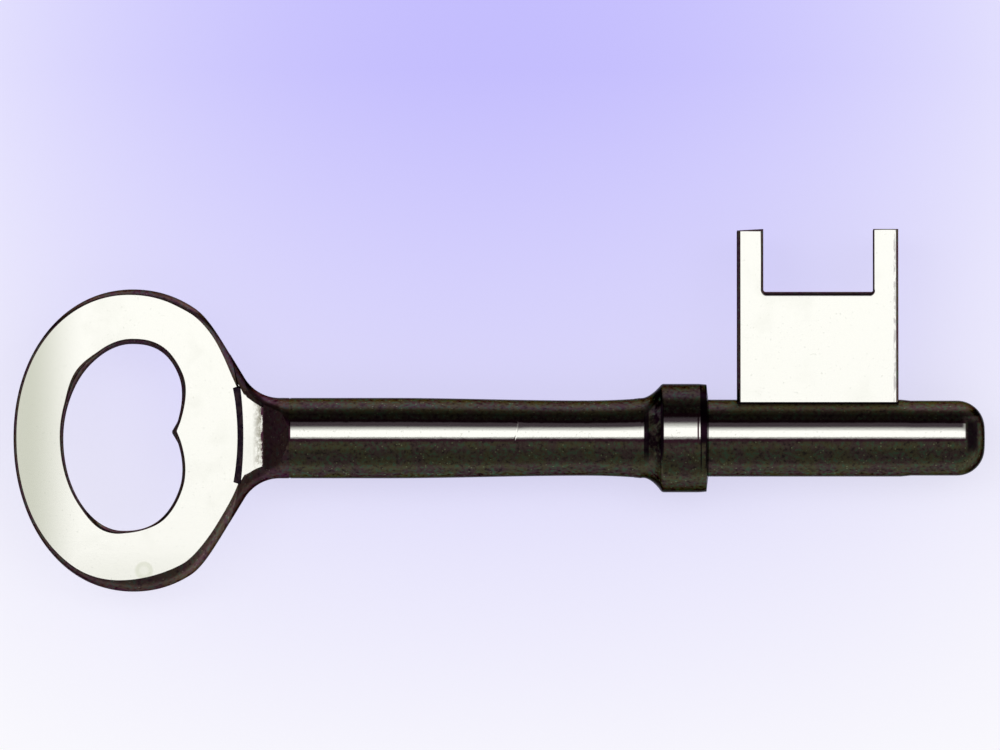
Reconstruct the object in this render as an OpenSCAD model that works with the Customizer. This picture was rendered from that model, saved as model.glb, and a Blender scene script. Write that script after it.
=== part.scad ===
// A lever lock key, built up from a flat bow, a neck, a turned stem, a collar and a bit, and brazed.
// Millimetres. The stem lies along X with its nose towards +X, the bit points to +Y and the front
// of the key faces +Z. The origin is on the stem's axis, at the shoulder that stops against the lock.

/* [Bow] */
// Width of the bow, measured along the stem
bow_width = 19.2; // [18:0.1:22]
// Height of the bow, measured across the stem
bow_height = 24.2; // [23:0.1:28]
// Thickness of the bow
bow_thick = 3; // [2.6:0.1:3.4]
// How far the middle of the bow hangs below the stem's line
bow_drop = 0.2; // [0:0.05:0.4]
// Distance from the middle of the bow to its joint with the neck
bow_seat = 8.4; // [8.2:0.05:8.8]
// Width of the ring at its far side
band_side = 3.95; // [3.6:0.05:4.8]
// Width of the ring at its two ends
band_end = 4.55; // [3.8:0.05:5.2]
// Width of the ring next to the neck, at the point between the hole's lobes
band_neck = 5.15; // [4.4:0.05:5.6]
// Depth of the point that divides the hole into two lobes
cusp_depth = 0.95; // [0.2:0.05:1.3]
// Half the length of that point
cusp_half = 4.5; // [3:0.1:5.5]
// How far the point lies above the stem's line
cusp_up = 0.4; // [0:0.05:0.8]
// Height of the small sharp nib on the point, at half thickness
nib_height = 0.2; // [0.1:0.05:0.5]
// How far the top of the hole leans towards the neck
hole_lean = 0.55; // [0:0.05:0.8]
// Rounding of the hole's edges
hole_round = 0.36; // [0.2:0.02:0.5]
// Rounding of the ring's far edge
far_round = 0.44; // [0.2:0.02:0.6]
// Rounding of the ring's edge next to the neck
flank_round = 1.5; // [1:0.05:1.9]
// Extra rounding at the low end of the bow
low_round = 0.9; // [0:0.05:1.1]
// Rounding that the upper flank has less
high_thin = 0.55; // [0:0.05:0.8]

/* [Neck] */
// Length of the neck, from the bow's joint to the stem
neck_length = 4; // [3.8:0.1:5]
// Length of the ramp that climbs from the flat to the round stem
ramp_length = 2.45; // [2:0.05:3]
// Angle of the bow's flanks to the stem
flank_angle = 58.7; // [50:0.1:64]
// Radius of the hollow where the flanks run into the stem
flank_hollow = 3.3; // [2.4:0.05:3.6]
// Radius of the curved joint between bow and neck
seam_radius = 21; // [15:1:60]
// Width of the brazed joint between bow and neck
seam_gap = 0.38; // [0.2:0.02:0.6]
// Depth to which that joint is left open on both faces
seam_recess = 0.16; // [0.05:0.01:0.3]

/* [Tang] */
// Width of the bow's tang
tang_width = 3.6; // [2.6:0.1:4]
// Thickness of the bow's tang
tang_thick = 1.6; // [1.2:0.1:2]
// Depth to which the tang enters the stem
tang_depth = 2.2; // [1.5:0.1:4]

/* [Stem] */
// Length of the stem behind the collar's shoulder
stem_back = 33.45; // [25:0.05:50]
// Length of the pin in front of the collar's shoulder
pin_length = 22.2; // [20:0.1:30]
// Radius of the pin at the nose, which runs in the lock
pin_r = 3; // [2.8:0.02:3.06]
// Radius of the pin where it carries the bit and the collar
pin_root_r = 3.08; // [3:0.02:3.14]
// Length of the cone between those two
pin_step = 0.8; // [0.6:0.1:1.5]
// Radius of the stem next to the neck
stem_rear_r = 3.22; // [3:0.02:3.4]
// Radius of the stem's waist behind the collar
stem_waist_r = 3.01; // [2.7:0.01:3.1]
// Length of the even stretch next to the neck
stem_even = 8; // [2:0.5:12]
// Length of the flare from the waist to the collar
stem_flare = 4.4; // [2:0.1:6]
// Height of the shoulder that the collar seats against
stop_height = 0.1; // [0.06:0.02:0.3]
// Radius of the rounding at the nose
nose_round = 2.2; // [1:0.1:2.4]

/* [Collar] */
// Radius of the collar
collar_r = 4.34; // [4:0.02:5]
// Length of the collar's round part
collar_land = 3; // [2:0.1:5]
// Length of the taper behind it
collar_taper = 1.7; // [1:0.1:3]
// Length of the band that narrows towards the shoulder
collar_band = 0.62; // [0.3:0.02:1]
// How much that band narrows on the radius
collar_draft = 0.05; // [0.01:0.01:0.2]

/* [Bit] */
// Distance from the collar's shoulder to the bit
bit_start = 2.4; // [1.5:0.1:5]
// Width of the bit, measured along the stem
bit_width = 12.9; // [10:0.1:14]
// Height of the bit's top above the stem's axis
bit_reach = 16.7; // [15:0.1:20]
// Thickness of the bit
bit_thick = 2.8; // [2:0.1:3.2]
// Width of the tower next to the collar
tower_rear = 2.1; // [1.5:0.1:3]
// Width of the tower next to the nose
tower_front = 2; // [1.5:0.1:3]
// Depth of the notch between the towers
notch_depth = 5.04; // [3:0.01:8]
// Height of the bit's foot above the stem's axis, inside the slot
bit_foot = 1; // [0.5:0.1:1.6]

/* [Brazing] */
// Clearance between a piece and its seat
fit_gap = 0.02; // [0.01:0.005:0.04]
// Depth below the skin at which the dressed joints of the neck end
joint_dressed = 0.03; // [0.02:0.01:0.1]
// Width of the brazed joint between neck and stem
neck_joint = 0.16; // [0.1:0.02:0.3]
// Length of the bead behind the collar
collar_bead = 0.5; // [0.2:0.05:0.8]
// Height of the collar's rear lip, which the bead fills
collar_lip = 0.1; // [0.06:0.02:0.2]
// Size of the beads at the foot of the bit
bit_bead = 0.2; // [0.1:0.05:0.4]

/* [Hidden] */

// Slices round the bow's ring and steps over each of its rounded edges
STATIONS = 108;
EDGE_STEPS = 3;
// How far the slices are drawn together towards the neck, in degrees
STATION_DRAW = 30;
// Slices along the neck and steps over a quarter of each
NECK_STATIONS = 18;
NECK_STEPS = 7;
$fn = 96;

stem_end = -stem_back;
flat_end = stem_end - ramp_length;
seam_x = stem_end - neck_length;
bow_x = seam_x - bow_seat;

bow_a = bow_width / 2;
bow_b = bow_height / 2;
half_thick = bow_thick / 2;

// The hollow of the flanks ends on the stem a little behind the neck's joint
hollow_lead = 0.7;
hollow_x = stem_end - hollow_lead;
flank_x = hollow_x - flank_hollow * sin(flank_angle);
flank_y = stem_rear_r + flank_hollow * (1 - cos(flank_angle));
// Distance of the flank's line from the middle of the bow, square to the line
flank_reach = (flank_x - bow_x) * sin(flank_angle) + flank_y * cos(flank_angle);

// The outline is a little fuller than an ellipse, and blends into the flank over this difference
outline_power = 2.08;
flank_blend = 0.6;

// The rim rolls over from the side and meets the face in a crease, where the roll stops at this angle
rim_end = 60;
// Its rounding reaches this deep at most, and less in proportion where it is narrower
rim_depth = half_thick - 0.05;
rim_slope = 1.1;
// The rounding grows between these angles from the stem's line
round_from = 145;
round_to = 45;
// Middle and spread of the extra rounding below and of the thinner stretch above
low_angle = -80;
low_spread = 34;
high_angle = 51;
high_spread = 22;

// The hole's two halves share one half width; its middle lies behind the middle of the bow
hole_back = bow_a - band_side;
hole_front = bow_seat - band_neck + cusp_depth;
hole_a = (hole_back + hole_front) / 2;
hole_shift = (hole_back - hole_front) / 2;
hole_b = bow_b - band_end;
// The lobes next to the neck are fuller than an ellipse
lobe_power = 2.4;
cusp_power = 1.75;
nib_half = 0.8;

// How far the neck's shape runs on past the joint, before it is cut along the joint
overrun = 2.4;

collar_length = collar_land + collar_taper + collar_band;
stop_r = pin_root_r + stop_height;
collar_root_r = stop_r + collar_lip;
taper_steps = 7;
taper_power = 1.7;
stem_steps = 14;

bit_end = bit_start + bit_width;
// The nose's even stretch starts a little in front of the bit
bit_lead = 0.2;
nose_start = bit_end + bit_lead + pin_step;

function mix(a, b, t) = a + (b - a) * t;
function smooth(t) = t * t * (3 - 2 * t);
function limit(t) = max(0, min(1, t));

// Triangles that join rings of points into a closed skin, with the first and last ring joined or capped
function band_faces(rings, count, closed) = [
    for (i = [0 : rings - (closed ? 1 : 2)], j = [0 : count - 1])
        let (
            a = i * count + j,
            b = i * count + (j + 1) % count,
            c = ((i + 1) % rings) * count + (j + 1) % count,
            d = ((i + 1) % rings) * count + j
        )
        each [[a, b, c], [a, c, d]]
];

// Radius of the bow's outline at an angle, drawn in by an inset
function oval_reach(angle, inset) =
    let (high = bow_b + (sin(angle) > 0 ? -bow_drop : bow_drop) - inset)
    pow(
        pow(abs(cos(angle)) / (bow_a - inset), outline_power) + pow(abs(sin(angle)) / high, outline_power),
        -1 / outline_power
    );
function flank_line(angle, inset) =
    let (slope = sin(flank_angle) * cos(angle) + cos(flank_angle) * abs(sin(angle)))
    slope > 0.1 ? (flank_reach - inset) / slope : 2 * bow_b;
function overrun_line(angle) = cos(angle) > 0.1 ? (bow_seat + overrun / 2) / cos(angle) : 2 * bow_b;
function outline_reach(angle, inset) =
    let (
        oval = oval_reach(angle, inset),
        line = flank_line(angle, inset),
        share = limit(1 - abs(oval - line) / flank_blend)
    )
    min(min(oval, line) - share * share * flank_blend / 4, overrun_line(angle));

// How far the rim's rounding would reach in at an angle from the stem's line
function hump(angle, middle, spread) = smooth(limit(1 - abs(angle - middle) / spread));
function rim_round(angle) =
    let (turn = angle > 180 ? angle - 360 : angle)
    mix(far_round, flank_round, smooth(limit((round_from - abs(turn)) / (round_from - round_to))))
    + low_round * hump(turn, low_angle, low_spread)
    - high_thin * hump(turn, high_angle, high_spread);

// The outer edge, from the middle of the thickness (step 0) to the crease at the face (last step)
function outer_point(angle, step) =
    let (
        turn = rim_end * step / EDGE_STEPS,
        inset = rim_round(angle) * (1 - cos(turn)),
        depth = min(rim_depth, rim_round(angle) * rim_slope),
        reach = outline_reach(angle, inset)
    )
    [reach * cos(angle), reach * sin(angle), half_thick - depth * (1 - sin(turn) / sin(rim_end))];

// The finger hole is an ellipse behind, and a fuller curve with a cusp in front
function power(value, exponent) = sign(value) * pow(abs(value), exponent);
function cusp_at(y) = cusp_depth * pow(1 - limit(abs(y - cusp_up) / cusp_half), cusp_power);
function nib_at(y) = nib_height * limit(1 - abs(y - cusp_up) / nib_half);
function lean_at(y) = y > 0 ? hole_lean * pow(y / hole_b, 2) : 0;
function hole_point(angle, step) =
    let (
        turn = rim_end * step / EDGE_STEPS,
        spread = hole_round * (1 - cos(turn)),
        fullness = cos(angle) > 0 ? 2 / lobe_power : 1,
        y = (hole_b + spread) * power(sin(angle), fullness),
        cusp = cos(angle) > 0 ? cusp_at(y) + nib_at(y) * pow(cos(turn), 2) : 0,
        x = (hole_a + spread) * power(cos(angle), fullness) - cusp + lean_at(y) - hole_shift
    )
    [x, y, half_thick - hole_round * (1 - sin(turn) / sin(rim_end))];

function flipped(p) = [p[0], p[1], -p[2]];
// One slice through the ring: up the outer edge, over the front face and down the hole's wall
function ring_slice(angle) = concat(
    [for (s = [EDGE_STEPS : -1 : 0]) flipped(outer_point(angle, s))],
    [for (s = [0 : EDGE_STEPS]) outer_point(angle, s)],
    [for (s = [EDGE_STEPS : -1 : 0]) hole_point(angle, s)],
    [for (s = [0 : EDGE_STEPS]) flipped(hole_point(angle, s))]
);

// The slices' angles, closer together at the cusp and the flanks than at the far side
function station(i) = let (turn = 360 * i / STATIONS) turn - STATION_DRAW * sin(turn);

module bow_ring() {
    slice = 4 * (EDGE_STEPS + 1);
    translate([bow_x, 0, 0])
        polyhedron(
            points = [for (i = [0 : STATIONS - 1]) each ring_slice(station(i))],
            faces = band_faces(STATIONS, slice, true)
        );
}

// The neck's half height: along the flank, round the hollow and then along the stem
function neck_half(x) =
    x < flank_x ? flank_y + (flank_x - x) * tan(flank_angle)
    : x < hollow_x ? stem_rear_r + flank_hollow - sqrt(pow(flank_hollow, 2) - pow(hollow_x - x, 2))
    : stem_rear_r;
// Angle of that outline to the stem's line
function flank_slope(x) = asin(min(sin(flank_angle), limit((hollow_x - x) / flank_hollow)));

// The neck's half thickness is level with the bow and then climbs the scooped ramp. Its side rolls over
// to a crease along the flat and the ramp, which fades out where the ramp runs into the round stem.
ramp_power = 1.2;
fade_power = 5;
function neck_corner(x, step, side_inset, face_inset) =
    let (
        climb = limit((x - flat_end) / ramp_length),
        fade = pow(climb, fade_power),
        top = mix(half_thick, stem_rear_r, pow(climb, ramp_power)) - face_inset,
        side = mix(flank_round / cos(flank_slope(x)), stem_rear_r - 0.01, fade),
        end = mix(rim_end, 90, fade),
        turn = end * step / NECK_STEPS
    )
    [x, neck_half(x) - side_inset - side * (1 - cos(turn)), top * sin(turn) / sin(end)];
function across(p) = [p[0], -p[1], p[2]];
function neck_slice(x, side_inset, face_inset) =
    let (quarter = [for (s = [0 : NECK_STEPS]) neck_corner(x, s, side_inset, face_inset)])
    concat(
        quarter,
        [for (s = [NECK_STEPS : -1 : 0]) across(quarter[s])],
        [for (s = [1 : NECK_STEPS]) flipped(across(quarter[s]))],
        [for (s = [NECK_STEPS : -1 : 1]) flipped(quarter[s])]
    );

// The neck's solid, from past the bow's joint to the stem, drawn in at its sides and its faces
module neck_body(side_inset, face_inset) {
    slice = 4 * NECK_STEPS + 2;
    from = seam_x - overrun;
    span = stem_end - from;
    polyhedron(
        points = [
            for (i = [0 : NECK_STATIONS - 1])
                each neck_slice(from + span * i / (NECK_STATIONS - 1), side_inset, face_inset)
        ],
        faces = concat(
            band_faces(NECK_STATIONS, slice, false),
            [for (j = [1 : slice - 2]) [0, j + 1, j]],
            [for (j = [1 : slice - 2]) let (last = (NECK_STATIONS - 1) * slice) [last, last + j, last + j + 1]]
        )
    );
}

// Everything on the bow's side of the joint, moved towards the stem by an offset
module bow_side(offset_x) {
    translate([seam_x - seam_radius, 0, 0])
        cylinder(h = 4 * bow_thick, r = seam_radius + offset_x, center = true, $fn = 180);
}

// The tang, or with a clearance on every side the slot that takes it
module tang(gap) {
    from = seam_x - bow_thick / 2;
    to = stem_end + tang_depth + gap;
    translate([from, -tang_width / 2 - gap, -tang_thick / 2 - gap])
        cube([to - from, tang_width + 2 * gap, tang_thick + 2 * gap]);
}

// Turns a profile of radius and length about the stem's axis
module turned() {
    rotate([0, 90, 0])
        rotate_extrude()
            children();
}

// The stem is even behind, thins to a waist and flares again to the collar
function stem_radius(x) =
    let (
        waist = -collar_length - stem_flare,
        fall_from = stem_end + stem_even,
        fall = smooth(limit((x - fall_from) / (waist - fall_from))),
        rise = limit((x - waist) / stem_flare)
    )
    mix(stem_rear_r, stem_waist_r, fall) + (stop_r - stem_waist_r) * pow(rise, 2);

module stem_profile() {
    joint = stem_end + neck_joint;
    stop = -collar_length;
    polygon(concat(
        [[0, joint]],
        [for (i = [0 : stem_steps]) let (x = mix(joint, stop, i / stem_steps)) [stem_radius(x), x]],
        [
            [pin_root_r, stop],
            [pin_root_r, nose_start - pin_step],
            [pin_r, nose_start],
            [pin_r, pin_length - nose_round],
            [0, pin_length - nose_round]
        ]
    ));
    translate([0, pin_length - nose_round])
        square([pin_r - nose_round, nose_round]);
    intersection() {
        translate([pin_r - nose_round, pin_length - nose_round])
            circle(r = nose_round);
        translate([0, pin_length - 2 * nose_round])
            square([pin_r, 2 * nose_round]);
    }
}

module bow() {
    color("gainsboro") {
        intersection() {
            bow_ring();
            bow_side(0);
        }
        tang(0);
    }
}

module neck() {
    color("silver")
        difference() {
            neck_body(0, 0);
            bow_side(seam_gap);
            tang(fit_gap);
        }
}

module stem() {
    color("dimgray")
        difference() {
            turned() stem_profile();
            tang(fit_gap);
            translate([bit_start - fit_gap, bit_foot - fit_gap, -bit_thick / 2 - fit_gap])
                cube([bit_width + 2 * fit_gap, 2 * pin_root_r, bit_thick + 2 * fit_gap]);
        }
}

module collar() {
    color("slategray")
        turned()
            polygon(concat(
                [[pin_root_r + fit_gap, -collar_length]],
                [for (i = [0 : taper_steps])
                    let (t = i / taper_steps)
                    [mix(collar_root_r, collar_r, pow(t, taper_power)), -collar_length + collar_taper * t]],
                [[collar_r, -collar_band], [collar_r - collar_draft, 0], [pin_root_r + fit_gap, 0]]
            ));
}

module bit() {
    color("whitesmoke")
        translate([0, 0, -bit_thick / 2])
            linear_extrude(height = bit_thick)
                difference() {
                    translate([bit_start, bit_foot])
                        square([bit_width, bit_reach - bit_foot]);
                    translate([bit_start + tower_rear, bit_reach - notch_depth])
                        square([bit_width - tower_rear - tower_front, notch_depth + 1]);
                }
}

module bow_braze() {
    color("darkgoldenrod")
        difference() {
            intersection() {
                neck_body(joint_dressed, seam_recess);
                bow_side(seam_gap - fit_gap);
            }
            bow_side(fit_gap);
            tang(fit_gap);
        }
}

module neck_braze() {
    color("darkgoldenrod")
        difference() {
            turned()
                translate([0, stem_end + fit_gap])
                    square([stem_rear_r - joint_dressed, neck_joint - 2 * fit_gap]);
            tang(fit_gap);
        }
}

module collar_braze() {
    back = -collar_length;
    color("darkgoldenrod")
        turned()
            polygon([
                [stop_r + fit_gap, back - fit_gap],
                [stem_radius(back - collar_bead) + fit_gap, back - collar_bead],
                [collar_root_r, back - fit_gap]
            ]);
}

// A bead along the foot of the bit, in the corner between its face and the pin
module bit_bead_run() {
    face = bit_thick / 2 + fit_gap;
    seat = pin_root_r + fit_gap;
    corner = sqrt(pow(seat, 2) - pow(face, 2));
    turn = atan2(face, corner) + bit_bead / seat * 180 / PI;
    toe = [corner + bit_bead, face];
    heel = [seat * cos(turn), seat * sin(turn)];
    translate([bit_start, 0, 0])
        rotate([90, 0, 90])
            linear_extrude(height = bit_width)
                difference() {
                    polygon([[corner / 2, face], toe, heel + (heel - toe) / 4]);
                    circle(r = seat);
                }
}

module bit_braze() {
    color("darkgoldenrod") {
        bit_bead_run();
        mirror([0, 0, 1])
            bit_bead_run();
    }
}

bow();
neck();
stem();
collar();
bit();
bow_braze();
neck_braze();
collar_braze();
bit_braze();
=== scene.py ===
import math
import bmesh
import bpy
from mathutils import Matrix, Vector


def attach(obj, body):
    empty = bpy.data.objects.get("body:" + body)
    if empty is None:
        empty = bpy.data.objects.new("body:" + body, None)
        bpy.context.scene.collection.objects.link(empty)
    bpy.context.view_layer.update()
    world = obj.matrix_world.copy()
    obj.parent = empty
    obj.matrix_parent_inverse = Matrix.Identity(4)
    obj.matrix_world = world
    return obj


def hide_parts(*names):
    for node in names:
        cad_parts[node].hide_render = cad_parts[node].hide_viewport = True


# A lever lock key of bright plated metal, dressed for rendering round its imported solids.
# Lengths are in millimetres until MM turns them into metres. They repeat those of the solids, and a
# few are fitted closer to the photograph, such as the end of the neck's flat and the collar's back.

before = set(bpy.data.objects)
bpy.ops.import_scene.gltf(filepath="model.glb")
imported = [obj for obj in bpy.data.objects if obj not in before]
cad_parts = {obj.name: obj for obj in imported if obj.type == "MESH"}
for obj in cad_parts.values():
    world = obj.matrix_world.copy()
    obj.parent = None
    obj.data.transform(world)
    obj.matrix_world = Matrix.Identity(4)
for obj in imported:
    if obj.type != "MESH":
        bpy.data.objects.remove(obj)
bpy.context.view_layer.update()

MM = 0.001

# Bow
BOW_A = 9.6
BOW_UP = 11.9
BOW_DOWN = 12.3
OUTLINE_POWER = 2.08
HALF_THICK = 1.5
BOW_SEAT = 8.4
HOLE_A = 4.925
HOLE_B = 7.55
HOLE_SHIFT = 0.725
HOLE_RISE = 0.06
HOLE_LEAN = 0.55
LOBE_POWER = 2.4
CUSP_UP = 0.4
CUSP_DEPTH = 0.95
CUSP_HALF = 4.5
CUSP_POWER = 1.75
NIB_HEIGHT = 0.2
NIB_HALF = 0.8
HOLE_ROUND = 0.5
# Stretches where the hole's edge is rounder: middle and spread in degrees, and how much more
HOLE_ROUND_MORE = (
    (140.0, 22.0, 0.55),
    (28.0, 22.0, 0.15),
    (-110.0, 24.0, 0.35),
    (-76.0, 22.0, -0.2),
)
FLANK_BLEND = 0.6
FLANK_ROUND = 1.5
FAR_ROUND = 0.5
ROUND_FROM = 145.0
ROUND_TO = 45.0
LOW_ROUND = 0.9
LOW_ANGLE = -80.0
LOW_SPREAD = 34.0
HIGH_THIN = 0.55
HIGH_ANGLE = 51.0
HIGH_SPREAD = 22.0
RIM_DEPTH = 1.45
RIM_SLOPE = 1.1
RIM_END = 60.0
OVERRUN = 2.4
BOW_X = -45.85

# Neck
STEM_END = -33.45
FLAT_END = -35.55
SEAM_X = -37.45
RAMP_POWER = 1.2
RAMP_TURN = 5.0
FLANK_ANGLE = math.radians(58.7)
FLANK_HOLLOW = 3.3
HOLLOW_X = -34.15
SEAM_RADIUS = 21.0
SEAM_GAP = 0.38
SEAM_RECESS = 0.16
JOINT_DRESSED = 0.03
SEAM_LOW = -3.7
SEAM_HIGH = 3.95
SEAM_STEPS = 360
SEAM_ARC = 36.0
# The filler's line is ground a little into the bow, and widens into the neck towards its ends
SEAM_CUT = 0.1
SEAM_FLARE = 0.14
# How much further the neck's side rolls over, at the lower side and towards the ramp at the upper one
ROLL_MORE = 0.7

# Tang, which joins bow, neck and stem, and the clearance round it
TANG_HALF_WIDTH = 1.8
TANG_HALF_THICK = 0.8
TANG_END = -31.0
FIT_GAP = 0.02
# What is left open where bow and neck meet beside the filler
HAIR_GAP = 0.004

# Stem
STEM_REAR_R = 3.22
STEM_WAIST_R = 3.01
STEM_EVEN = 8.0
STEM_FLARE = 4.4
# The stem and the neck nearly close on the filler between them
NECK_JOINT = 0.145
JOINT_CLOSE = 0.015
STOP_R = 3.18
PIN_ROOT_R = 3.08
PIN_R = 3.0
PIN_STEP = 0.8
NOSE_START = 16.3
PIN_LENGTH = 22.2
NOSE_ROUND = 2.2

# Collar
COLLAR_R = 4.34
COLLAR_BACK = -5.32
COLLAR_TAPER = 1.7
TAPER_POWER = 1.7
TAPER_STOP = 0.93
CORNER_LENGTH = 0.3
COLLAR_ROOT_R = 3.21
COLLAR_BAND = 0.62
COLLAR_DRAFT = 0.05
COLLAR_BEAD = 0.5
# The taper is ground hollow, more on the side away from the bit
TAPER_HOLLOW_HIGH = 0.04
TAPER_HOLLOW_LOW = 0.13
# The collar's front face stands a little forward at the pin
FRONT_LEAN = 0.05
FRONT_RISE = 0.1

# Bit
BIT_START = 2.4
BIT_END = 15.3
BIT_TOP = 16.7
BIT_FOOT = 1.0
BIT_HALF_THICK = 1.4
NOTCH_LEFT = 4.5
NOTCH_RIGHT = 13.3
NOTCH_FLOOR = 11.66

FLOOR_Z = -4.34


def mix(a, b, t):
    return a + (b - a) * t


def limit(t):
    return max(0.0, min(1.0, t))


def smooth(t):
    return t * t * (3 - 2 * t)


def power(value, exponent):
    return math.copysign(abs(value) ** exponent, value)


# Meshes

def new_object(name, points, faces):
    """A mesh object from points in millimetres."""
    mesh = bpy.data.meshes.new(name)
    mesh.from_pydata([[c * MM for c in p] for p in points], [], faces)
    mesh.validate()
    shell = bmesh.new()
    shell.from_mesh(mesh)
    bmesh.ops.recalc_face_normals(shell, faces=shell.faces)
    shell.to_mesh(mesh)
    shell.free()
    made = bpy.data.objects.new(name, mesh)
    bpy.context.scene.collection.objects.link(made)
    return made


def band_faces(rings, count, closed):
    """Quads that join rings of points, with the first and last ring joined too if closed."""
    faces = []
    for i in range(rings if closed else rings - 1):
        for j in range(count):
            here = i * count
            there = (i + 1) % rings * count
            beside = (j + 1) % count
            faces.append((here + j, here + beside, there + beside, there + j))
    return faces


def bake_modifiers(made):
    """Replaces the object's mesh by what its modifiers make of it."""
    bpy.context.view_layer.update()
    graph = bpy.context.evaluated_depsgraph_get()
    mesh = bpy.data.meshes.new_from_object(made.evaluated_get(graph))
    made.modifiers.clear()
    made.data = mesh


def combine(made, tool, operation):
    """Cuts the tool out of an object, or joins the tool to it, and deletes the tool."""
    step = made.modifiers.new("combine", "BOOLEAN")
    step.operation = operation
    step.solver = "EXACT"
    step.object = tool
    bake_modifiers(made)
    bpy.data.objects.remove(tool)


def block(name, low, high):
    """A plain box between two corners, used only to cut or join."""
    points = [
        (x, y, z)
        for x in (low[0], high[0])
        for y in (low[1], high[1])
        for z in (low[2], high[2])
    ]
    faces = [(0, 1, 3, 2), (4, 6, 7, 5), (0, 4, 5, 1), (2, 3, 7, 6), (0, 2, 6, 4), (1, 5, 7, 3)]
    return new_object(name, points, faces)


def tang_block(gap):
    low = (SEAM_X - HALF_THICK, -TANG_HALF_WIDTH - gap, -TANG_HALF_THICK - gap)
    high = (TANG_END + gap, TANG_HALF_WIDTH + gap, TANG_HALF_THICK + gap)
    return block("tang_tool", low, high)


def seam_end(y, side):
    """Where the bow or the neck ends, measured from the joint's arc."""
    if y < SEAM_LOW or y > SEAM_HIGH:
        return SEAM_GAP - HAIR_GAP if side == "bow" else SEAM_GAP
    return -SEAM_CUT if side == "bow" else SEAM_GAP + SEAM_FLARE * (y / SEAM_HIGH) ** 2


def joint_tool(side, margin=0):
    """Everything on the bow's side of the bow's end or of the neck's end, and a margin past it."""
    centre = SEAM_X - SEAM_RADIUS
    outline = []
    for i in range(SEAM_STEPS + 1):
        turn = math.radians(mix(-SEAM_ARC, SEAM_ARC, i / SEAM_STEPS))
        radius = SEAM_RADIUS + seam_end(SEAM_RADIUS * math.sin(turn), side) + margin
        outline.append((centre + radius * math.cos(turn), radius * math.sin(turn)))
    far = BOW_X - 2 * BOW_A
    wide = 2 * BOW_DOWN
    outline += [(outline[-1][0], wide), (far, wide), (far, -wide), (outline[0][0], -wide)]
    points = [(x, y, z) for z in (-4 * HALF_THICK, 4 * HALF_THICK) for x, y in outline]
    count = len(outline)
    faces = band_faces(2, count, False)
    faces += [tuple(range(count - 1, -1, -1)), tuple(range(count, 2 * count))]
    return new_object("joint_tool", points, faces)


def turned(name, profile, segments, shift=None):
    """A ring or bar turned about X from closed (x, radius) points; shift moves single radii."""
    points = []
    rings = []
    for x, r in profile:
        if r == 0:
            rings.append([len(points)])
            points.append((x, 0, 0))
            continue
        rings.append(list(range(len(points), len(points) + segments)))
        for j in range(segments):
            turn = 2 * math.pi * j / segments
            radius = r + (shift(x, turn) if shift else 0)
            points.append((x, radius * math.sin(turn), radius * math.cos(turn)))
    faces = []
    for here, there in zip(rings, rings[1:] + rings[:1]):
        if len(here) == 1 and len(there) == 1:
            continue
        for j in range(segments):
            k = (j + 1) % segments
            if len(here) == 1:
                faces.append((here[0], there[k], there[j]))
            elif len(there) == 1:
                faces.append((here[j], here[k], there[0]))
            else:
                faces.append((here[j], here[k], there[k], there[j]))
    return new_object(name, points, faces)


EVEN_WEIGHT = 90


def finish_mesh(made, sharp):
    """Shades the piece smooth up to an angle in degrees, and ties it to the part."""
    mesh = made.data
    mesh.validate()
    for face in mesh.polygons:
        face.use_smooth = True
    mesh.set_sharp_from_angle(angle=math.radians(sharp))
    even = made.modifiers.new("even_shading", "WEIGHTED_NORMAL")
    even.keep_sharp = True
    even.weight = EVEN_WEIGHT
    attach(made, "root")


# Bow

EDGE_STEPS = 8
TURN_STEP = 1.0
# Angles this near to the stem's line get steps half as long
NEAR_NECK = 40.0
# Below this slope a line across the stem's side lies too far out to matter
LEAST_SLOPE = 0.1


def signed_degrees(turn):
    """An angle round the bow from -180 to 180 degrees, measured from the stem's line."""
    return math.degrees(turn if turn <= math.pi else turn - 2 * math.pi)


def oval_reach(turn, inset):
    high = (BOW_UP if math.sin(turn) > 0 else BOW_DOWN) - inset
    wide = BOW_A - inset
    across, up = abs(math.cos(turn)) / wide, abs(math.sin(turn)) / high
    return (across ** OUTLINE_POWER + up ** OUTLINE_POWER) ** (-1 / OUTLINE_POWER)


FLANK_X = HOLLOW_X - FLANK_HOLLOW * math.sin(FLANK_ANGLE)
FLANK_Y = STEM_REAR_R + FLANK_HOLLOW * (1 - math.cos(FLANK_ANGLE))
FLANK_REACH = (FLANK_X - BOW_X) * math.sin(FLANK_ANGLE) + FLANK_Y * math.cos(FLANK_ANGLE)


def flank_line(turn, inset):
    slope = math.sin(FLANK_ANGLE) * math.cos(turn) + math.cos(FLANK_ANGLE) * abs(math.sin(turn))
    return (FLANK_REACH - inset) / slope if slope > LEAST_SLOPE else 2 * BOW_DOWN


def overrun_line(turn):
    """A little past the joint, where the ring is cut to its own end later."""
    slope = math.cos(turn)
    return (BOW_SEAT + OVERRUN / 2) / slope if slope > LEAST_SLOPE else 2 * BOW_DOWN


def rim_round(turn):
    """How far the rounded rim would reach in at an angle from the stem's line."""
    degrees = signed_degrees(turn)
    near = smooth(limit((ROUND_FROM - abs(degrees)) / (ROUND_FROM - ROUND_TO)))
    low = smooth(limit(1 - abs(degrees - LOW_ANGLE) / LOW_SPREAD))
    high = smooth(limit(1 - abs(degrees - HIGH_ANGLE) / HIGH_SPREAD))
    return mix(FAR_ROUND, FLANK_ROUND, near) + LOW_ROUND * low - HIGH_THIN * high


def outline_reach(turn, inset):
    """The oval and the flank's line, blended where they meet, and cut off past the joint."""
    oval, line = oval_reach(turn, inset), flank_line(turn, inset)
    share = limit(1 - abs(oval - line) / FLANK_BLEND)
    return min(min(oval, line) - share ** 2 * FLANK_BLEND / 4, overrun_line(turn))


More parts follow.
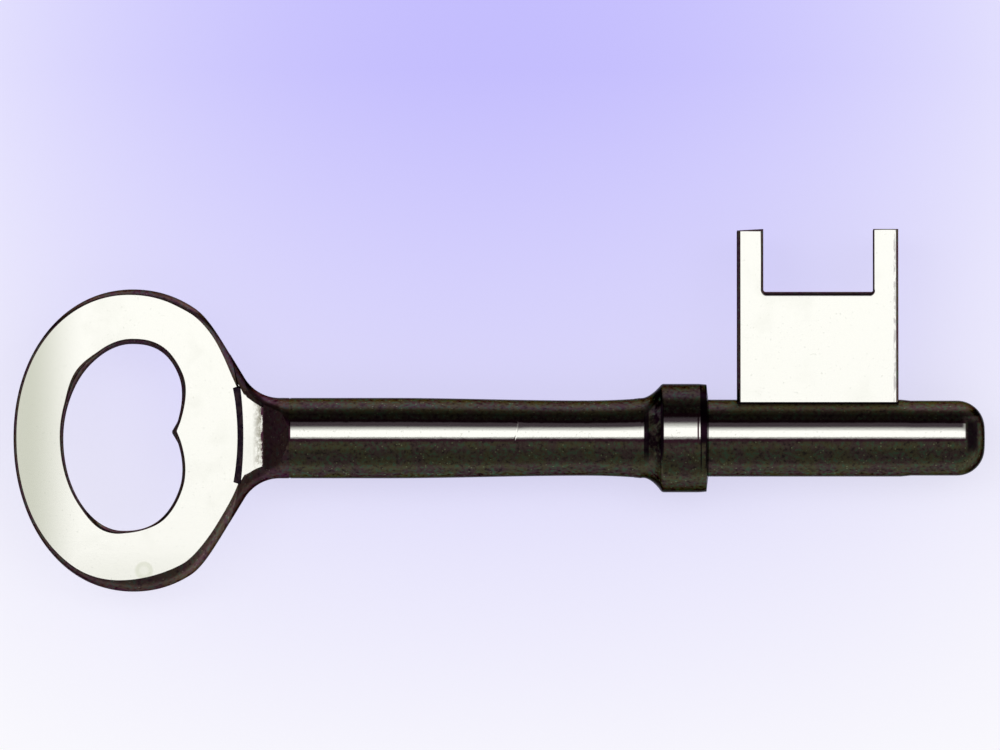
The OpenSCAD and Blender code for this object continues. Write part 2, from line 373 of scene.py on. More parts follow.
def outer_point(turn, step):
    """The rim rolls over from the side and meets the face in a crease."""
    roll = math.radians(RIM_END) * step / EDGE_STEPS
    inset = rim_round(turn) * (1 - math.cos(roll))
    depth = min(RIM_DEPTH, rim_round(turn) * RIM_SLOPE)
    reach = outline_reach(turn, inset)
    rise = math.sin(roll) / math.sin(math.radians(RIM_END))
    return (reach * math.cos(turn), reach * math.sin(turn), HALF_THICK - depth * (1 - rise))


def hole_round(turn):
    """How far the hole's rounded edge would reach, which changes along a few stretches."""
    degrees = signed_degrees(turn)
    more = 0
    for middle, spread, extra in HOLE_ROUND_MORE:
        more += extra * smooth(limit(1 - abs(degrees - middle) / spread))
    return HOLE_ROUND + more


def hole_point(turn, step):
    roll = math.radians(RIM_END) * step / EDGE_STEPS
    spread = hole_round(turn) * (1 - math.cos(roll))
    rise = math.sin(roll) / math.sin(math.radians(RIM_END))
    fullness = 2 / LOBE_POWER if math.cos(turn) > 0 else 1
    x = (HOLE_A + spread) * power(math.cos(turn), fullness)
    y = (HOLE_B + spread) * power(math.sin(turn), fullness)
    if math.cos(turn) > 0:
        x -= CUSP_DEPTH * (1 - limit(abs(y - CUSP_UP) / CUSP_HALF)) ** CUSP_POWER
        x -= NIB_HEIGHT * limit(1 - abs(y - CUSP_UP) / NIB_HALF) * math.cos(roll) ** 2
    lean = HOLE_LEAN * (y / HOLE_B) ** 2 if y > 0 else 0
    return (x + lean - HOLE_SHIFT, y + HOLE_RISE, HALF_THICK - hole_round(turn) * (1 - rise))


def flipped(p):
    return (p[0], p[1], -p[2])


def bow_turns():
    """Angles round the bow, closer together at the hole's cusp and along the flanks."""
    turns = []
    turn = -180.0
    while turn < 180:
        turns.append(math.radians(turn % 360))
        turn += TURN_STEP / 2 if abs(turn) < NEAR_NECK else TURN_STEP
    return turns


def make_bow():
    points = []
    turns = bow_turns()
    for turn in turns:
        ring = [flipped(outer_point(turn, s)) for s in range(EDGE_STEPS, -1, -1)]
        ring += [outer_point(turn, s) for s in range(EDGE_STEPS + 1)]
        ring += [hole_point(turn, s) for s in range(EDGE_STEPS, -1, -1)]
        ring += [flipped(hole_point(turn, s)) for s in range(EDGE_STEPS + 1)]
        points += [(x + BOW_X, y, z) for x, y, z in ring]
    faces = band_faces(len(turns), 4 * (EDGE_STEPS + 1), True)
    made = new_object("bow_ring", points, faces)
    combine(made, joint_tool("bow"), "INTERSECT")
    combine(made, tang_block(0), "UNION")
    return made


# Neck

NECK_STEPS = 14
NECK_STATIONS = 60
# What is left of the crease where the neck has become round
CREASE_LEFT = 0.01


def neck_half(x):
    if x < FLANK_X:
        return FLANK_Y + (FLANK_X - x) * math.tan(FLANK_ANGLE)
    if x < HOLLOW_X:
        return STEM_REAR_R + FLANK_HOLLOW - math.sqrt(FLANK_HOLLOW ** 2 - (HOLLOW_X - x) ** 2)
    return STEM_REAR_R


def flank_slope(x):
    """Angle of the neck's outline to the stem's line."""
    return math.asin(min(math.sin(FLANK_ANGLE), limit((HOLLOW_X - x) / FLANK_HOLLOW)))


def neck_corner(x, step, lower, side_inset, face_inset):
    """The side rolls over to a crease along the flat and the ramp, which fades into the stem."""
    climb = limit((x - FLAT_END) / (STEM_END - FLAT_END))
    fade = climb ** RAMP_TURN
    top = mix(HALF_THICK, STEM_REAR_R, climb ** RAMP_POWER) - face_inset
    more = ROLL_MORE * (1 if lower else limit((x - SEAM_X) / (FLAT_END - SEAM_X)))
    side = mix(FLANK_ROUND / math.cos(flank_slope(x)) + more, STEM_REAR_R - CREASE_LEFT, fade)
    end = math.radians(mix(RIM_END, 90, fade))
    roll = end * step / NECK_STEPS
    y = neck_half(x) - side_inset - side * (1 - math.cos(roll))
    return (x, -y if lower else y, top * math.sin(roll) / math.sin(end))


def neck_body(side_inset=0, face_inset=0):
    points = []
    start = SEAM_X - OVERRUN
    end = STEM_END + JOINT_CLOSE
    for i in range(NECK_STATIONS + 1):
        x = mix(start, end, i / NECK_STATIONS)
        upper = []
        lower = []
        for step in range(NECK_STEPS + 1):
            upper.append(neck_corner(x, step, False, side_inset, face_inset))
            lower.append(neck_corner(x, step, True, side_inset, face_inset))
        points += upper + lower[::-1]
        points += [flipped(p) for p in lower[1:]]
        points += [flipped(p) for p in upper[::-1][:-1]]
    count = 4 * NECK_STEPS + 2
    faces = band_faces(NECK_STATIONS + 1, count, False)
    last = NECK_STATIONS * count
    faces.append(tuple(range(count - 1, -1, -1)))
    faces.append(tuple(range(last, last + count)))
    return new_object("neck_forging", points, faces)


def make_neck():
    made = neck_body()
    combine(made, joint_tool("neck"), "DIFFERENCE")
    combine(made, tang_block(FIT_GAP), "DIFFERENCE")
    return made


def make_bow_braze():
    made = neck_body(JOINT_DRESSED, SEAM_RECESS)
    combine(made, joint_tool("neck", -FIT_GAP / 2), "INTERSECT")
    combine(made, joint_tool("bow", FIT_GAP / 2), "DIFFERENCE")
    combine(made, tang_block(FIT_GAP), "DIFFERENCE")
    low = (SEAM_X - OVERRUN, SEAM_LOW + FIT_GAP, -2 * HALF_THICK)
    high = (STEM_END, SEAM_HIGH - FIT_GAP, 2 * HALF_THICK)
    combine(made, block("seam_tool", low, high), "INTERSECT")
    made.name = "bow_joint_filler"
    return made


# Stem

TURN_SEGMENTS = 192
STEM_STATIONS = 60
NOSE_STEPS = 16


def stem_radius(x):
    waist = COLLAR_BACK - STEM_FLARE
    fall_from = STEM_END + STEM_EVEN
    fall = smooth(limit((x - fall_from) / (waist - fall_from)))
    rise = limit((x - waist) / STEM_FLARE)
    return mix(STEM_REAR_R, STEM_WAIST_R, fall) + (STOP_R - STEM_WAIST_R) * rise ** 2


# A small nick that winds across the front of the stem
NICK_X = -15.3
NICK_HALF = 0.07
NICK_DEPTH = 0.015
NICK_MIDDLE = 0.08
NICK_TURN = 0.5
NICK_SWAY = 0.15
NICK_BENDS = 6
NICK_STATIONS = 8


def nick(x, turn):
    """How far the stem's surface is moved at a place along it and an angle round it."""
    away = turn - NICK_MIDDLE
    around = limit(1 - abs(math.atan2(math.sin(away), math.cos(away))) / NICK_TURN)
    along = limit(1 - abs(x - NICK_X - NICK_SWAY * math.sin(turn * NICK_BENDS)) / NICK_HALF)
    return -NICK_DEPTH * smooth(along) * smooth(limit(2 * around))


def make_stem():
    joint = STEM_END + NECK_JOINT
    stations = [mix(joint, COLLAR_BACK, i / STEM_STATIONS) for i in range(STEM_STATIONS + 1)]
    stations += [NICK_X + k * NICK_HALF / 3 for k in range(-NICK_STATIONS, NICK_STATIONS + 1)]
    profile = [(joint, 0)] + [(x, stem_radius(x)) for x in sorted(set(stations))]
    profile.append((COLLAR_BACK, PIN_ROOT_R))
    profile.append((NOSE_START - PIN_STEP, PIN_ROOT_R))
    profile.append((NOSE_START, PIN_R))
    for i in range(NOSE_STEPS + 1):
        roll = math.pi / 2 * i / NOSE_STEPS
        x = PIN_LENGTH - NOSE_ROUND * (1 - math.sin(roll))
        profile.append((x, PIN_R - NOSE_ROUND * (1 - math.cos(roll))))
    profile.append((PIN_LENGTH, 0))
    made = turned("stem_bar", profile, TURN_SEGMENTS, nick)
    combine(made, tang_block(FIT_GAP), "DIFFERENCE")
    low = (BIT_START - FIT_GAP, BIT_FOOT - FIT_GAP, -BIT_HALF_THICK - FIT_GAP)
    high = (BIT_END + FIT_GAP, 2 * PIN_ROOT_R, BIT_HALF_THICK + FIT_GAP)
    combine(made, block("slot_tool", low, high), "DIFFERENCE")
    return made


# Collar

TAPER_STEPS = 16
CORNER_ROUND_STEPS = 8
CORNER_FROM = math.radians(45)


def taper_hollow(x, turn):
    """How far the taper's ground surface is moved, with the bit's side at a quarter turn."""
    along = limit((x - COLLAR_BACK) / COLLAR_TAPER)
    depth = mix(TAPER_HOLLOW_LOW, TAPER_HOLLOW_HIGH, (1 + math.sin(turn)) / 2)
    return -depth * 4 * along * (1 - along)


def make_collar():
    bore = PIN_ROOT_R + FIT_GAP
    profile = [(COLLAR_BACK, bore)]
    for i in range(TAPER_STEPS + 1):
        t = TAPER_STOP * i / TAPER_STEPS
        radius = mix(COLLAR_ROOT_R, COLLAR_R, t ** TAPER_POWER)
        profile.append((COLLAR_BACK + COLLAR_TAPER * t, radius))
    turn_x, turn_r = profile[-1]
    for i in range(1, CORNER_ROUND_STEPS + 1):
        roll = mix(CORNER_FROM, math.pi / 2, i / CORNER_ROUND_STEPS)
        away = 1 - math.cos(roll) / math.cos(CORNER_FROM)
        rise = (math.sin(roll) - math.sin(CORNER_FROM)) / (1 - math.sin(CORNER_FROM))
        profile.append((turn_x + CORNER_LENGTH * away, mix(turn_r, COLLAR_R, rise)))
    profile.append((-COLLAR_BAND, COLLAR_R))
    profile.append((-FRONT_LEAN, COLLAR_R - COLLAR_DRAFT))
    profile.append((FRONT_RISE, bore))
    return turned("stop_collar", profile, TURN_SEGMENTS, taper_hollow)


COLLAR_BEAD_STEPS = 8


def make_collar_braze():
    """A fillet that leads the stem into the collar's back."""
    start, end = COLLAR_BACK - COLLAR_BEAD, COLLAR_BACK - FIT_GAP
    height = COLLAR_ROOT_R - stem_radius(end) - FIT_GAP
    outside = []
    inside = []
    for i in range(COLLAR_BEAD_STEPS + 1):
        x = mix(start, end, i / COLLAR_BEAD_STEPS)
        inside.append((x, stem_radius(x) + FIT_GAP / 2))
        outside.append((x, stem_radius(x) + FIT_GAP + height * (i / COLLAR_BEAD_STEPS) ** 2))
    return turned("collar_fillet", outside + inside[::-1], TURN_SEGMENTS)


# Bit

# How far in each edge is worn round, and how deep
WEAR_DEPTH = 0.4
WEAR_LEFT = 0.36
WEAR_RIGHT = 0.24
WEAR_INNER_LEFT = 0.26
WEAR_INNER_RIGHT = 0.09
WEAR_FLOOR = 0.44
WEAR_TOP = 0.12
WEAR_TIP = 0.26
# The left tower's top falls away to the left
TIP_FALL = 0.12
NOTCH_CORNER = 0.18
CORNER_STEPS = 5
WEAR_STEPS = 7


def bit_outline():
    """Corners of the plate with the vectors that lead to the corners of its worn face."""
    outline = [
        (BIT_START, BIT_FOOT, WEAR_LEFT, 0),
        (BIT_END, BIT_FOOT, -WEAR_RIGHT, 0),
        (BIT_END, BIT_TOP, -WEAR_RIGHT, -WEAR_TOP),
        (NOTCH_RIGHT, BIT_TOP, WEAR_INNER_RIGHT, -WEAR_TOP),
    ]
    for side, middle, wall in (
        (1, NOTCH_RIGHT - NOTCH_CORNER, WEAR_INNER_RIGHT),
        (-1, NOTCH_LEFT + NOTCH_CORNER, WEAR_INNER_LEFT),
    ):
        for i in range(CORNER_STEPS + 1):
            share = i / CORNER_STEPS if side > 0 else 1 - i / CORNER_STEPS
            across = side * math.cos(math.pi / 2 * share)
            down = -math.sin(math.pi / 2 * share)
            wear = mix(wall, WEAR_FLOOR, share)
            x = middle + NOTCH_CORNER * across
            y = NOTCH_FLOOR + NOTCH_CORNER * (1 + down)
            outline.append((x, y, wear * across, wear * down))
    outline.append((NOTCH_LEFT, BIT_TOP, -WEAR_INNER_LEFT, -WEAR_TIP))
    outline.append((BIT_START, BIT_TOP - TIP_FALL, WEAR_LEFT, -WEAR_TIP + TIP_FALL))
    return outline


def make_bit():
    outline = bit_outline()
    points = []
    for side in (-1, 1):
        for step in range(WEAR_STEPS + 1) if side > 0 else range(WEAR_STEPS, -1, -1):
            roll = math.pi / 2 * step / WEAR_STEPS
            share = 1 - math.cos(roll)
            z = side * (BIT_HALF_THICK - WEAR_DEPTH * (1 - math.sin(roll)))
            points += [(x + in_x * share, y + in_y * share, z) for x, y, in_x, in_y in outline]
    count = len(outline)
    rings = 2 * (WEAR_STEPS + 1)
    last = (rings - 1) * count
    faces = band_faces(rings, count, False)
    faces += [tuple(range(count - 1, -1, -1)), tuple(range(last, last + count))]
    return new_object("bit_plate", points, faces)


# How far the bead at the bit's foot reaches up the plate and round the pin
BEAD_UP = 0.04
BEAD_ROUND = 0.18
BEAD_STEPS = 6


def bead_outline(side):
    """Section of one bead in Y and Z, in the corner between the plate's face and the pin."""
    face, seat = BIT_HALF_THICK + FIT_GAP, PIN_ROOT_R + FIT_GAP
    corner = math.sqrt(seat ** 2 - face ** 2)
    outline = [(corner + BEAD_UP, side * face)]
    for i in range(BEAD_STEPS + 1):
        turn = math.atan2(face, corner) + BEAD_ROUND / seat * (1 - i / BEAD_STEPS)
        outline.append((seat * math.cos(turn), side * seat * math.sin(turn)))
    return outline


def make_bit_braze():
    points = []
    faces = []
    for side in (-1, 1):
        outline = bead_outline(side)
        first, count = len(points), len(outline)
        points += [(x, y, z) for x in (BIT_START, BIT_END) for y, z in outline]
        faces += [tuple(first + k for k in face) for face in band_faces(2, count, False)]
        faces.append(tuple(range(first + count - 1, first - 1, -1)))
        faces.append(tuple(range(first + count, first + 2 * count)))
    return new_object("bit_foot_beads", points, faces)


# Materials

def node(tree, kind, inputs=None, **settings):
    """A shader node; an input's value is a number, a colour or another node's output."""
    made = tree.nodes.new("ShaderNode" + kind)
    for name, value in settings.items():
        setattr(made, name, value)
    for name, value in (inputs or {}).items():
        if isinstance(value, bpy.types.NodeSocket):
            tree.links.new(value, made.inputs[name])
        else:
            made.inputs[name].default_value = value
    return made


def maths(tree, operation, a, b=0.0, clamp=False):
    made = node(tree, "Math", {0: a, 1: b}, operation=operation, use_clamp=clamp)
    return made.outputs[0]


def scaled(tree, value, factor, base):
    """The value times a factor, plus a base."""
    made = node(tree, "Math", {0: value, 1: factor, 2: base}, operation="MULTIPLY_ADD")
    return made.outputs[0]


def times(tree, *values):
    product = values[0]
    for value in values[1:]:
        product = maths(tree, "MULTIPLY", product, value)
    return product


def greatest(tree, *values):
    top = values[0]
    for value in values[1:]:
        top = maths(tree, "MAXIMUM", top, value)
    return top


def without(tree, value, share):
    """What is left of a value where a share of it is taken away."""
    return times(tree, value, maths(tree, "SUBTRACT", 1.0, share))


def vector_maths(tree, operation, a, b=(0.0, 0.0, 0.0)):
    return node(tree, "VectorMath", {0: a, 1: b}, operation=operation)


def blend(tree, factor, a, b, kind="MIX"):
    """Mixes two colours."""
    made = node(tree, "Mix", {0: factor, 6: a, 7: b}, data_type="RGBA", blend_type=kind)
    return made.outputs[2]


def tinted(tree, share, tone, gain):
    """The colour times a gain for each of red, green and blue, over a share of the surface."""
    return blend(tree, share, tone, blend(tree, 1.0, tone, gain, "MULTIPLY"))


def step_between(tree, value, low, high):
    """0 below low, 1 above high and a smooth rise between them."""
    settings = {"Value": value, "From Min": low, "From Max": high, "To Min": 0.0, "To Max": 1.0}
    made = node(tree, "MapRange", settings, interpolation_type="SMOOTHSTEP")
    return made.outputs[0]


def span(tree, value, start, full, last, end):
    """0 up to start, 1 from full to last, and 0 again from end."""
    return times(tree, step_between(tree, value, start, full), step_between(tree, value, end, last))


def noise(tree, place, cells, detail, rough):
    """Noise from 0 to 1, with its cells counted to a metre."""
    settings = {"Vector": place, "Scale": cells, "Detail": detail, "Roughness": rough}
    return node(tree, "TexNoise", settings).outputs[0]


def stretched(tree, place, *scale):
    return node(tree, "Mapping", {"Vector": place, "Scale": scale}).outputs[0]


def bump(tree, height, strength, depth):
    """Relief of a depth in millimetres, for a shader's normal."""
    settings = {"Height": height, "Strength": strength, "Distance": depth * MM}
    return node(tree, "Bump", settings).outputs[0]


def new_tree(name):
    made = bpy.data.materials.new(name)
    made.use_nodes = True
    made.node_tree.nodes.clear()
    return made, made.node_tree


def show(tree, shader):
    out = node(tree, "OutputMaterial")
    tree.links.new(shader.outputs[0], out.inputs[0])


def colour(r, g, b):
    return (r, g, b, 1.0)


class Surface:
    """Where a point of a piece lies, in millimetres, and which way its surface turns."""

    def __init__(self, tree):
        where = node(tree, "TexCoord")
        self.place = where.outputs["Object"]
        self.normal = where.outputs["Normal"]
        place = node(tree, "SeparateXYZ", {0: self.place})
        self.x = maths(tree, "DIVIDE", place.outputs[0], MM)
        self.y = maths(tree, "DIVIDE", place.outputs[1], MM)
        turned_to = node(tree, "SeparateXYZ", {0: self.normal})
        self.ahead = turned_to.outputs[0]
        self.lean = turned_to.outputs[1]
        self.end_on = maths(tree, "ABSOLUTE", turned_to.outputs[0])
        self.face_on = maths(tree, "ABSOLUTE", turned_to.outputs[2])


# Painted dark reflection

# Noises: cells to a metre, detail and roughness
PATCHES = (700, 3, 0.6)
GRAINS = (3200, 2, 0.6)
PLUM_PATCHES = (0.38, 0.6)
GREEN_GRAINS = (0.5, 0.68)
BLACK_GRAINS = (0.25, 0.5)
DARK_OLIVE = colour(0.0627, 0.0571, 0.0314)
DARK_PLUM = colour(0.0585, 0.039, 0.038)
DARK_GREEN = colour(0.047, 0.0762, 0.047)
GRAIN_BLACK = colour(0.022, 0.018, 0.018)
# Pale specks: cells to a metre, the chance value from which a cell has one, and its reach
SPECK_CELLS = 5200.0
SPECK_FROM = 0.93
SPECK_REACH = 0.32
SPECK_TONE = colour(0.12, 0.14, 0.08)


def painted_dark_reflection(tree, place, grains):
    """Painted dark reflection on the round and narrow surfaces, standing in for the dark room they
    mirror, with fine random speckle.
    """
    patches = noise(tree, place, *PATCHES)
    tone = blend(tree, step_between(tree, patches, *PLUM_PATCHES), DARK_OLIVE, DARK_PLUM)
    tone = blend(tree, step_between(tree, grains, *GREEN_GRAINS), tone, DARK_GREEN)
    tone = blend(tree, step_between(tree, grains, *BLACK_GRAINS), GRAIN_BLACK, tone)
    cells = node(tree, "TexVoronoi", {"Vector": place, "Scale": SPECK_CELLS})
    chance = node(tree, "SeparateColor", {0: cells.outputs["Color"]}).outputs[0]
    chosen = maths(tree, "GREATER_THAN", chance, SPECK_FROM)
    core = maths(tree, "LESS_THAN", cells.outputs["Distance"], SPECK_REACH)
    return blend(tree, times(tree, chosen, core), tone, SPECK_TONE)


# Painted light on the dark plating, as gains by the way it turns, with the bit's side as 1 and the
# far side as -1: a painted shade band beside the streak, painted reflection on the upper and lower
# edges, and painted light on ground flanks turned ahead
BAND_SIDE = (0.46, 0.54, 0.62, 0.78)
PAINTED_SHADE_BAND_GAIN = colour(0.3, 0.3, 0.3)
UPPER_SIDE = (0.5, 0.75)
PAINTED_UPPER_REFLECTION_GAIN = colour(2.15, 1.95, 1.6)
LOWER_SIDE = (-0.85, -0.97)
PAINTED_LOWER_REFLECTION_GAIN = colour(1.8, 1.8, 1.9)
GROUND_GAIN = colour(1.1, 0.82, 1.15)
FLANK_SIDE = (0.2, 0.5)
PAINTED_FLANK_LIGHT_GAIN = colour(1.9, 2.0, 1.7)


def painted_side_light(tree, spot, dark, sides):
    """Paints shade in a band beside the streak, and paints reflection that lightens the edges towards
    and away from the bit.
    """
    upper_share, lower_share = sides
    dark = tinted(tree, span(tree, spot.lean, *BAND_SIDE), dark, PAINTED_SHADE_BAND_GAIN)
    upper = times(tree, step_between(tree, spot.lean, *UPPER_SIDE), upper_share)
    dark = tinted(tree, upper, dark, PAINTED_UPPER_REFLECTION_GAIN)
    lower = times(tree, step_between(tree, spot.lean, *LOWER_SIDE), lower_share)
    return tinted(tree, lower, dark, PAINTED_LOWER_REFLECTION_GAIN)


# The bright line along a round surface is a painted highlight where the softbox's reflection falls, a
# little towards the bit
HIGHLIGHT_TURN = math.radians(7.45)
HIGHLIGHT_LINE = (0.0, math.sin(HIGHLIGHT_TURN), math.cos(HIGHLIGHT_TURN))
# Half the width of the painted highlight line and of the painted shade fringe round it: where each
# starts and is full
HIGHLIGHT_EDGE = (math.cos(math.radians(13.04)), math.cos(math.radians(10.55)))
FRINGE_EDGE = (math.cos(math.radians(17.63)), math.cos(math.radians(14.85)))
FRINGE_SHARE = 0.8
FRINGE_PAINTED_SHADE = colour(0.05, 0.012, 0.03)
RAGGED = (1500, 3, 0.6)
RAGGED_STRETCH = (1, 2.5, 1)
RAGGED_DEPTH = 0.008
END_ON_EDGE = (0.3, 0.24)


def painted_highlight_line(tree, spot):
    """Shares of the painted highlight line and of its painted shade fringe, which stop where a
    surface turns end on.
    """
    around = vector_maths(tree, "MULTIPLY", spot.normal, (0.0, 1.0, 1.0)).outputs[0]
    around = vector_maths(tree, "NORMALIZE", around).outputs[0]
    along_line = vector_maths(tree, "DOT_PRODUCT", around, HIGHLIGHT_LINE).outputs["Value"]
    ragged = noise(tree, stretched(tree, spot.place, *RAGGED_STRETCH), *RAGGED)
    loose = scaled(tree, ragged, RAGGED_DEPTH, -RAGGED_DEPTH / 2)
    level = maths(tree, "ADD", maths(tree, "ABSOLUTE", along_line), loose)
    level_along = step_between(tree, spot.end_on, *END_ON_EDGE)
    bright = times(tree, step_between(tree, level, *HIGHLIGHT_EDGE), level_along)
    fringe = times(tree, step_between(tree, level, *FRINGE_EDGE), level_along, FRINGE_SHARE)
    return bright, fringe


# Painted shade, and changes to the painted highlight, on single pieces

LINE_SOFT_OUT = 0.03
LINE_SOFT_IN = 0.02


def line_at(tree, along, place, half):
    """A soft line across the part at a place on X, as wide as twice half."""
    beside = maths(tree, "ABSOLUTE", maths(tree, "SUBTRACT", along, place))
    return step_between(tree, beside, half + LINE_SOFT_OUT, half - LINE_SOFT_IN)


# Along the collar: each line's place and half its width, where painted shade lies or the painted
# highlight is left out, and the stretches without the painted highlight
FRONT_BAND = (-0.61, -0.56)
FRONT_SHADE_LINE = (-0.76, 0.06)
FRONT_LINES = ((-0.52, 0.05), (-0.1, 0.06))
TAPER_CORNER = (-3.63, 0.13)
TAPER_FOOT = (-4.89, 0.19)
TAPER_NO_HIGHLIGHT = (-5.12, -5.04, -3.9, -3.7)
# Round the collar: where the painted highlight is left out, and where each painted shade line shows
STREAK_TOP = (0.27, 0.35)
BAND_ROUND = (-0.25, -0.1, 0.8, 0.97)
CORNER_ROUND = (-0.5, -0.2, 0.5, 0.75)
LINES_FROM = (-0.72, -0.5)
FOOT_ROUND = (-0.7, -0.35, 0.42, 0.62)
LINE_SHARE = 0.9
PAINTED_LINE_SHADE = colour(0.006, 0.002, 0.006)
# Painted shade on the taper's slope, broken into blotches by noise
TAPER_SLOPE = (0.2, 0.45)
TAPER_ROUND = (-0.6, -0.2, 0.42, 0.62)
BLOTCHES = (900, 3, 0.6)
BLOTCH_EDGE = (0.62, 0.42)
BLOTCH_PAINTED_SHADE = colour(0.008, 0.003, 0.006)


def collar_painted_shade(tree, spot, bright, dark):
    """No painted highlight on the front end and taper, and painted shade in dark lines beside them
    and in blotches on the taper.
    """
    band = step_between(tree, spot.x, *FRONT_BAND)
    corner = times(
        tree,
        line_at(tree, spot.x, *TAPER_CORNER),
        span(tree, spot.lean, *CORNER_ROUND),
    )
    highlight_removed = greatest(
        tree,
        band,
        corner,
        line_at(tree, spot.x, *FRONT_SHADE_LINE),
        step_between(tree, spot.lean, *STREAK_TOP),
        span(tree, spot.x, *TAPER_NO_HIGHLIGHT),
    )
    lines = greatest(tree, *[line_at(tree, spot.x, *line) for line in FRONT_LINES])
    darkened = greatest(
        tree,
        corner,
        times(tree, band, span(tree, spot.lean, *BAND_ROUND)),
        times(tree, lines, step_between(tree, spot.lean, *LINES_FROM)),
        times(tree, line_at(tree, spot.x, *TAPER_FOOT), span(tree, spot.lean, *FOOT_ROUND)),
    )
    blotched = times(
        tree,
        step_between(tree, spot.end_on, *TAPER_SLOPE),
        span(tree, spot.lean, *TAPER_ROUND),
        step_between(tree, noise(tree, spot.place, *BLOTCHES), *BLOTCH_EDGE),
    )
    dark = blend(tree, blotched, dark, BLOTCH_PAINTED_SHADE)
    dark = blend(tree, times(tree, darkened, LINE_SHARE), dark, PAINTED_LINE_SHADE)
    return without(tree, bright, highlight_removed), dark


# Painted shade where the nose rounds over: where it lies, its share and its colour
NOSE_AHEAD = (0.28, 0.4, 0.66, 0.82)
NOSE_ROUND_SPAN = (-0.5, -0.25, 0.3, 0.55)
NOSE_SHARE = 0.85
NOSE_PAINTED_SHADE = colour(0.008, 0.003, 0.008)


def nose_painted_shade(tree, spot, bright, dark):
    """Painted shade in a dark band where the nose rounds over, in front of the streak's end."""
    ahead = span(tree, spot.ahead, *NOSE_AHEAD)
    band = times(tree, ahead, span(tree, spot.lean, *NOSE_ROUND_SPAN), NOSE_SHARE)
    return bright, blend(tree, band, dark, NOSE_PAINTED_SHADE)


MOTTLE = (3000, 4, 0.7)
MOTTLE_STRETCH = (1, 0.6, 1)
MOTTLE_EDGE = (0.34, 0.58)
GREY_FROM = (-36.45, -35.8)
GREY_SHARE = 0.85
GREY_TONE = colour(0.26, 0.25, 0.2)
BROKEN_FROM = (-35.66, -35.56)
BROKEN_DEPTH = 0.9
# Painted shade on the ramp, where its surface turns end on
RAMP_SLOPE = (0.15, 0.4)
RAMP_SHARE = 0.65
RAMP_PAINTED_SHADE = colour(0.012, 0.004, 0.006)


def neck_mottle(tree, spot):
    return noise(tree, stretched(tree, spot.place, *MOTTLE_STRETCH), *MOTTLE)


def neck_painted_shade(tree, spot, bright, dark):
    """The bright flat ends raggedly at the ramp, which carries painted shade and is darker than the
    neck's sides.
    """
    loose = scaled(tree, neck_mottle(tree, spot), BROKEN_DEPTH, -BROKEN_DEPTH / 2)
    broken = step_between(tree, maths(tree, "ADD", spot.x, loose), *BROKEN_FROM)
    ramp = times(tree, step_between(tree, spot.end_on, *RAMP_SLOPE), RAMP_SHARE)
    return without(tree, bright, broken), blend(tree, ramp, dark, RAMP_PAINTED_SHADE)


def no_painted_highlight(tree, spot, bright, dark):
    """No painted highlight line at all, so the piece shows only painted dark reflection."""
    return times(tree, bright, 0.0), dark


# Bright faces

CLOUD = (260, 3, 0.55)
FINE = (5200, 2, 0.5)
BRIGHT_METAL = colour(0.784, 0.784, 0.7504)
PIT_EDGE = (0.62, 0.72)
PIT_SHARE = 0.3
PIT_TONE = colour(0.3, 0.3, 0.24)
POLISHED_ROUGH = 0.06
POLISHED_ROUGH_MORE = 0.06


def polished_face(tree, spot, fine):
    """Colour and roughness of the painted highlight line on the round pieces."""
    cloud = noise(tree, spot.place, *CLOUD)
    pits = times(tree, step_between(tree, fine, *PIT_EDGE), PIT_SHARE)
    face = blend(tree, pits, BRIGHT_METAL, PIT_TONE)
    return face, scaled(tree, cloud, POLISHED_ROUGH_MORE, POLISHED_ROUGH)


GROUND_METAL = colour(0.7952, 0.7952, 0.7616)
PATINA_AND_SHADE_METAL = colour(0.504, 0.5152, 0.448)
FLAT_EDGE = (0.985, 0.9985)
# Faint patina clouds, painted shade over all of the bow's far arc, and a little of the same darker
# tone on its lower one
PATINA_CLOUDS = (0.5, 0.75)
CLOUD_SHARE = 0.15
FAR_ARC = (-49.5, -54.5)
LOW_ARC = (-8.2, -11.2)
LOW_ARC_SHARE = 0.22
GROUND_PIT_EDGE = (0.66, 0.74)
GROUND_PIT_SHARE = 0.25
GROUND_PIT_TONE = colour(0.4, 0.42, 0.36)
# A round mark low on the bow, with a fainter core
MARK_PLACE = (-45.0, -10.7, HALF_THICK)
MARK_EDGE = (0.82, 0.6)
MARK_CORE = (0.52, 0.2)
MARK_CORE_SHARE = 0.6
MARK_SHARE = 0.4
MARK_TONE = colour(0.5, 0.53, 0.4)
# The bit's front edge is worn in streaks
STREAKS = (4200, 3, 0.6)
STREAK_STRETCH = (1, 0.25, 1)
STREAK_EDGE = (0.4, 0.58)
WORN_FROM = (14.82, 15.02)
WORN_SHARE = 0.75
WORN_TONE = colour(0.3, 0.28, 0.29)
GROUND_ROUGH = 0.12
GROUND_ROUGH_MORE = 0.03


def round_mark(tree, spot):
    middle = tuple(c * MM for c in MARK_PLACE)
    away = vector_maths(tree, "DISTANCE", spot.place, middle).outputs["Value"]
    away = maths(tree, "DIVIDE", away, MM)
    core = times(tree, step_between(tree, away, *MARK_CORE), MARK_CORE_SHARE)
    return maths(tree, "SUBTRACT", step_between(tree, away, *MARK_EDGE), core)


